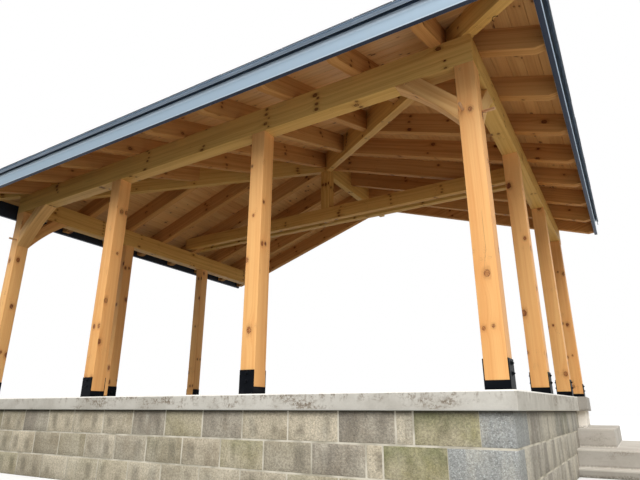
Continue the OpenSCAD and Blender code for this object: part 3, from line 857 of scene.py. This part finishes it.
def hexagon_nut(bm, at, out):
    """A washer, a nut with eased corners and the end of its bolt, standing out of a plate."""
    side = out.orthogonal().normalized()
    turn = Matrix((side, out.cross(side), out)).transposed()
    corner = NUT_ACROSS / 2.0 / cos(pi / 6.0)
    top = NUT_HIGH + NUT_FOOT
    washer = ((0.0155, -0.0005), (0.0155, 0.0016), (0.0148, 0.0022), (0.008, 0.0022))
    nut = ((corner, NUT_FOOT), (corner, NUT_HIGH * 0.85), (corner * 0.86, top), (0.0055, top))
    bolt = ((0.0050, NUT_HIGH), (0.0050, NUT_HIGH + 0.006), (0.0038, NUT_HIGH + 0.0075))
    for sides, profile in ((24, washer), (6, nut), (16, bolt)):
        rings = []
        for radius, height in profile:
            angles = [2.0 * pi * i / sides for i in range(sides)]
            ring = [Vector((radius * cos(a), radius * sin(a), height)) for a in angles]
            rings.append([bm.verts.new(at + turn @ point) for point in ring])
        skin(bm, rings, foot=False)


def make_bases():
    """Steel post bases, with two bolts through both flanges of each."""
    corners = [(side * POST_ACROSS, POST_FRONT) for side in (-1, 1)]
    middles = [(side * MIDDLE_POST_ACROSS, POST_FRONT) for side in (-1, 1)]
    right = [(POST_ACROSS, y) for y in SIDE_POSTS]
    left = [(-POST_ACROSS, y) for y in SIDE_POSTS]
    for node, posts, faces in (("corner_bases", corners, "x"), ("front_bases", middles, "y"),
                               ("right_bases", right, "x"), ("left_bases", left, "x")):
        add_piece(node + "_steel", eased_copy(node, 0.0012, 1), [BLACK_STEEL], "black_steel", node)
        bm = bmesh.new()
        for x, y in posts:
            top = slab_top(y) + FOOT_ABOVE_SLAB + FLANGE_HIGH
            for way in (-1, 1):
                out = Vector((way, 0, 0)) if faces == "x" else Vector((0, way, 0))
                for down in BOLTS_DOWN:
                    at = Vector((x, y, top - down)) + out * (POST / 2 + FLANGE_THICK)
                    hexagon_nut(bm, at, out)
        add_piece(node + "_bolts", bm, [BOLT_STEEL], "black_steel")


# Roof. Each slope has the direction of its eave, and where strips along it start and end before the cuts.
SLOPES = {
    "front": ((1, 0, 0), -3.6, 3.6),
    "right": ((0, 1, 0), -3.2, 2.6),
    "left": ((0, 1, 0), -3.2, 2.6),
}


def slope_point(name, along, up, out):
    """A point on a roof slope: metres along its eave, up its boards from over the beam's face, and out."""
    inward = up * COS - out * SIN
    height = BOARDS_AT_BEAM + up * SIN + out * COS
    if name == "front":
        return Vector((along, FRONT + inward, height))
    if name == "right":
        return Vector((HALF_WIDTH - inward, along, height))
    return Vector((inward - HALF_WIDTH, along, height))


def strip(bm, name, section, start, end):
    """A closed strip along a slope, from its cross-section in metres up and out of the slope."""
    ends = [[slope_point(name, along, up, out) for up, out in section] for along in (start, end)]
    skin(bm, [[bm.verts.new(point) for point in points] for points in ends])


def trim_slope(bm, name):
    """Cuts what has been laid on a slope along its hips, at the back and at the ridge."""
    peak = (0, PEAK, 0)
    back = ((0, BACK, 0), (0, 1, 0))
    cuts = {
        "front": ((peak, (1, 1, 0)), (peak, (-1, 1, 0))),
        "right": ((peak, (-1, -1, 0)), back, ((0, 0, 0), (-1, 0, 0))),
        "left": ((peak, (1, -1, 0)), back, ((0, 0, 0), (1, 0, 0))),
    }
    for point, way in cuts[name]:
        cut(bm, point, way)
    bmesh.ops.recalc_face_normals(bm, faces=bm.faces)


def make_roof_boards():
    """Tongue-and-groove boards along the eaves, with a groove at each joint and butts over rafters."""
    groove, gap, butt_gap = 0.0045, 0.0008, 0.0004
    high = HALF_WIDTH / COS + 0.02
    joints = [BOARD_PITCH * i - FIRST_JOINT_OUT / COS for i in range(-2, 40)]
    rows = [-BOARDS_OUT / COS, -FASCIA_BACK_OUT / COS, *(up for up in joints if up < high - 0.03), high]
    for name, (along, start, end) in SLOPES.items():
        chance = Random("boards " + name)
        bm = bmesh.new()
        for number, (up0, up1) in enumerate(zip(rows, rows[1:])):
            section = [(up0 + groove, 0.0), (up1 - groove, 0.0), (up1 - gap, groove),
                       (up1 - gap, BOARD_THICK), (up0 + gap, BOARD_THICK), (up0 + gap, groove)]
            if name == "front":
                butts = [RAFTER_PITCH_FRONT * k + RAFTER_SHIFT_FRONT for k in chance.sample(range(-3, 4), 2)]
            else:
                butts = [RAFTER_PITCH_SIDE * chance.choice((-3, -2, -1, 0, 1, 2)) + RAFTER_SHIFT_SIDE]
            stops = [start, *sorted(butts), end]
            for a, b in zip(stops, stops[1:]):
                strip(bm, name, section, a + butt_gap, b - butt_gap)
            # The outermost strip takes the dark flange metal, which is also painted shade in the slot over
            # the fascia.
            if number == 0:
                for face in bm.faces:
                    face.material_index = 1
        trim_slope(bm, name)
        mark_grain(bm, along, chance)
        add_piece(name + "_roof_boards", bm, [BOARD_WOOD, EAVE_FLANGE_SHADE], "board_wood", name + "_deck")


def make_shingles():
    """Three-tab shingles in courses, each tab lying on the course below it."""
    tab, slot, most_drop = 0.305, 0.007, 0.002
    base = BOARD_THICK
    low = ((base + SHINGLE_THICK) * SIN - SHINGLES_OUT) / COS + most_drop
    high = HALF_WIDTH / COS
    for name, (_, start, end) in SLOPES.items():
        chance = Random("shingles " + name)
        bm = bmesh.new()
        strip(bm, name, [(low + 0.003, base), (low + 0.003, base + 0.003), (low + 0.15, base + 0.001),
                         (high, base + 0.0008), (high, base)], start, end)
        course = 0
        while low + EXPOSURE * course < high:
            up0 = low + EXPOSURE * course
            up1 = up0 + EXPOSURE + 0.020
            along = start - tab + (tab / 2.0 if course % 2 else 0.0) + chance.uniform(-0.01, 0.01)
            while along < end:
                lift, drop = chance.uniform(-0.0004, MOST_LIFT), chance.uniform(-most_drop, most_drop)
                section = [(up0 + drop, base + 0.0030), (up0 + drop, SHINGLE_TOP + lift),
                           (up1, base + 0.0020), (up1, base + 0.0002)]
                strip(bm, name, section, along, along + tab - slot)
                along += tab
            course += 1
        trim_slope(bm, name)
        mark_pieces(bm, chance)
        add_piece(name + "_shingle_tabs", bm, [SHINGLE], "shingle", name + "_shingles")


def cap_run(bm, start, run, length, normals, chance):
    """Cap shingles folded over a hip or the ridge, each one lying on the one below it."""
    run = run.normalized()
    wings = []
    for normal in normals:
        wing = normal.cross(run).normalized()
        wings.append(wing if wing.z < 0 else -wing)
    count = max(1, round(length / EXPOSURE))
    pitch = length / count
    for i in range(count):
        lower, upper = pitch * i, pitch * (i + 1) + (0.02 if i < count - 1 else 0.0)
        wide = CAP_WIDE - chance.uniform(0.0, 0.003)
        rows = []
        for t, bottom, top in ((lower, 0.0034, 0.0080), (upper, 0.0002, 0.0024)):
            here = start + run * t
            for up in (SHINGLE_TOP + bottom, SHINGLE_TOP + top):
                fold = here + Vector((0, 0, (up - 0.0015) / COS))
                near = [here + wings[k] * 0.018 + normals[k] * up for k in (0, 1)]
                far = [here + wings[k] * wide + normals[k] * up for k in (0, 1)]
                points = (far[0], near[0], fold, near[1], far[1])
                rows.append([bm.verts.new(point) for point in points])
        low0, top0, low1, top1 = rows
        for a, b in ((low0, top0), (top0, top1), (top1, low1), (low1, low0)):
            for j in range(4):
                bm.faces.new((a[j], a[j + 1], b[j + 1], b[j]))
        bm.faces.new((low0[0], top0[0], top1[0], low1[0]))
        bm.faces.new((low0[4], low1[4], top1[4], top0[4]))


def add_caps(name, bm, chance, node):
    bmesh.ops.recalc_face_normals(bm, faces=bm.faces)
    mark_pieces(bm, chance)
    add_piece(name, bm, [SHINGLE], "shingle", node)


def make_caps():
    front, right, left = Vector((0, -SIN, COS)), Vector((SIN, 0, COS)), Vector((-SIN, 0, COS))
    eave = HALF_WIDTH + SHINGLES_OUT - 0.004
    peak_height = BOARDS_AT_BEAM + HALF_WIDTH * ROOF_RISE
    chance = Random("caps")
    bm = bmesh.new()
    for side, normal in ((1, right), (-1, left)):
        foot = Vector((side * eave, PEAK - eave, BOARDS_AT_BEAM + (HALF_WIDTH - eave) * ROOF_RISE))
        run = Vector((0, PEAK, peak_height)) - foot
        cap_run(bm, foot, run, run.length, (front, normal), chance)
    cut(bm, (eave, 0, 0), (1, 0, 0))
    cut(bm, (-eave, 0, 0), (-1, 0, 0))
    cut(bm, (0, PEAK - eave, 0), (0, -1, 0))
    add_caps("hip_cap_shingles", bm, chance, "hip_caps")
    bm = bmesh.new()
    start = Vector((0, PEAK - 0.09, peak_height))
    cap_run(bm, start, Vector((0, 1, 0)), BACK - start.y - 0.002, (right, left), chance)
    add_caps("ridge_cap_shingles", bm, chance, "ridge_cap")


# Timbers, metal and hook

def make_frame_timbers():
    up, rightward, backward = (0, 0, 1), (1, 0, 0), (0, 1, 0)
    for node in ("corner_posts", "front_posts", "right_posts", "left_posts"):
        timber(node, up, POST_WOOD, "post_wood", 0.0035)
    for node, along in (("front_beam", rightward), ("right_beam", backward), ("left_beam", backward),
                        ("tie_beams", rightward), ("king_post", up), ("ridge_beam", backward),
                        ("right_hip", (-1, 1, ROOF_RISE)), ("left_hip", (1, 1, ROOF_RISE))):
        timber(node, along, BEAM_WOOD, "beam_wood", 0.0030)
    for node, along in (("front_rafters", (0, 1, ROOF_RISE)), ("right_rafters", (-1, 0, ROOF_RISE)),
                        ("left_rafters", (1, 0, ROOF_RISE)), ("wall_rafters", (1, 0, ROOF_RISE))):
        timber(node, along, RAFTER_WOOD, "rafter_wood")


def make_braces_and_pegs():
    """The front braces are a piece on each side, because their grain runs different ways."""
    both = eased_copy("front_braces", 0.0030)
    for side, name, along in ((-1, "left", (1, 0, 1)), (1, "right", (-1, 0, 1))):
        bm = both.copy()
        bmesh.ops.delete(bm, geom=[v for v in bm.verts if v.co.x * side < 0], context="VERTS")
        mark_grain(bm, along, Random("front_braces" + str(side)))
        add_piece("front_braces_" + name, bm, [BRACE_WOOD], "brace_wood", "front_braces")
    both.free()
    timber("side_braces", (0, 1, 1), BRACE_WOOD, "brace_wood", 0.0030)
    bm = eased_copy("pegs", 0.0045, 3)
    mark_grain(bm, (0, 1, 0), Random("pegs"))
    add_piece("peg_ends", bm, [PEG_WOOD], "peg_wood", "pegs")


def make_cladding():
    for side in ("front", "right", "left"):
        fascia, trim = side + "_fascia", side + "_trim"
        add_piece(fascia + "_cover", eased_copy(fascia, 0.0018), [FASCIA_METAL], "fascia_metal", fascia)
        add_piece(trim + "_cover", eased_copy(trim, 0.0010, 1), [TRIM_METAL], "trim_metal", trim)
    for node, material in (("base_fill", GRAVEL), ("wall_flashing", FLASHING_METAL)):
        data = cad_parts[node].data
        data.materials.clear()
        data.materials.append(material)


def make_hook():
    """A small round hook screwed into the underside of the right hip's tail."""
    centre, radius, shank, rod = Vector((3.0885, -2.6110, 3.1140)), 0.0200, 0.026, 0.0021
    level, up = Vector((0.989, 0.148, 0.0)), Vector((0, 0, 1))
    out = level.cross(up)
    first, last, turns, sides = radians(35.0), radians(248.0), 22, 10
    path = []
    for i in range(turns + 1):
        a = first + (last - first) * i / turns
        path.append(centre + level * (radius * cos(a)) + up * (radius * sin(a)))
    path.insert(0, path[0] + up * shank)
    bm = bmesh.new()
    rings = []
    for point, before, after in zip(path, path[:1] + path, path[1:] + path[-1:]):
        side = (after - before).normalized().cross(out).normalized()
        angles = [2.0 * pi * j / sides for j in range(sides)]
        rings.append([bm.verts.new(point + (side * cos(a) + out * sin(a)) * rod) for a in angles])
    skin(bm, rings)
    bmesh.ops.recalc_face_normals(bm, faces=bm.faces)
    add_piece("hip_hook", bm, [HOOK_STEEL], "black_steel")


# Stage, light and camera

def make_floor():
    """A floor that is pale where it is seen. It throws less light back at the left and far in front."""
    bm = bmesh.new()
    bmesh.ops.create_grid(bm, x_segments=8, y_segments=8, size=60.0)
    mesh = bpy.data.meshes.new("floor")
    bm.to_mesh(mesh)
    bm.free()
    s = new_material("floor_paint")
    where = s.place()
    x, y, _ = s.split(where)
    pale = s.mix(s.noise(where, 3.0), (0.80, 0.80, 0.80), (0.83, 0.83, 0.83))
    mesh.materials.append(s.finish(Base_Color=pale, Roughness=0.9))
    thrown = s.coats(
        s.mix(x.step(-3.0, 3.0), (0.050, 0.056, 0.036), (0.410, 0.440, 0.430)),
        (y.step(-3.2, -1.8) * x.step(0.6, 2.4), (0.350, 0.330, 0.265)),
        (y.step(-2.5, -3.1) * x.step(-1.2, 1.8), (0.490, 0.510, 0.530)),
    )
    thrown = s.dim(thrown, 1.0 - y.step(-4.2, -7.0) * 0.50)
    dull = s.node("BsdfDiffuse", None, {"Color": thrown})["BSDF"]
    paint = Value(s, s.tree.nodes["Principled BSDF"].outputs["BSDF"])
    both = s.node("MixShader", None, {0: s.seen(), 1: dull, 2: paint})["Shader"]
    s.feed(s.tree.nodes["Material Output"].inputs["Surface"], both)
    new_object("floor", mesh)


def make_world():
    """A soft sky: bright above, dim at the ground, and plain white where the camera or a mirror sees it."""
    world = bpy.data.worlds.new("soft_sky")
    scene.world = world
    s = Shader(world)
    rightward, backward, up = s.split(s.node("TexCoord")["Generated"])
    low = up.step(0.85, 0.30)
    glow = (up.step(0.02, 0.60) * 1.08 + 0.10) * (1.0 - backward.step(0.10, 0.80) * low * 0.55)
    glow = glow * (1.0 - rightward.step(-0.15, -0.85) * low * 0.60)
    seen = s.seen()
    sky = s.tree.nodes["Background"]
    s.feed(sky.inputs["Color"], s.mix(seen, (0.95, 0.975, 1.0), (1.0, 1.0, 1.0)))
    s.feed(sky.inputs["Strength"], seen + (1.0 - seen) * glow)


def make_lamp():
    lamp = bpy.data.lights.new("open_sky", "SUN")
    lamp.energy = 2.72
    lamp.angle = radians(50.0)
    lamp.color = (1.0, 0.985, 0.96)
    holder = new_object("open_sky", lamp)
    holder.rotation_euler = Vector((0.50, -1.0, 1.28)).to_track_quat("Z", "Y").to_euler()


def make_camera():
    data = bpy.data.cameras.new("camera")
    data.sensor_fit = "HORIZONTAL"
    data.sensor_width = SENSOR_WIDTH
    data.lens = SENSOR_WIDTH * FOCAL_PX / IMAGE_WIDTH
    data.clip_start = 0.05
    data.clip_end = 100.0
    camera = new_object("camera", data)
    turn = Matrix.Rotation(radians(CAMERA_TURN), 4, "Z")
    tilt = Matrix.Rotation(radians(90.0 + CAMERA_TILT), 4, "X")
    roll = Matrix.Rotation(radians(CAMERA_ROLL), 4, "Z")
    camera.matrix_world = Matrix.Translation(CAMERA_AT) @ turn @ tilt @ roll
    scene.camera = camera


scene.view_settings.view_transform = "Standard"
make_camera()
make_walls()
make_slab_and_steps()
make_bases()
make_frame_timbers()
make_braces_and_pegs()
make_roof_boards()
make_shingles()
make_caps()
make_cladding()
make_hook()
make_floor()
make_world()
make_lamp()
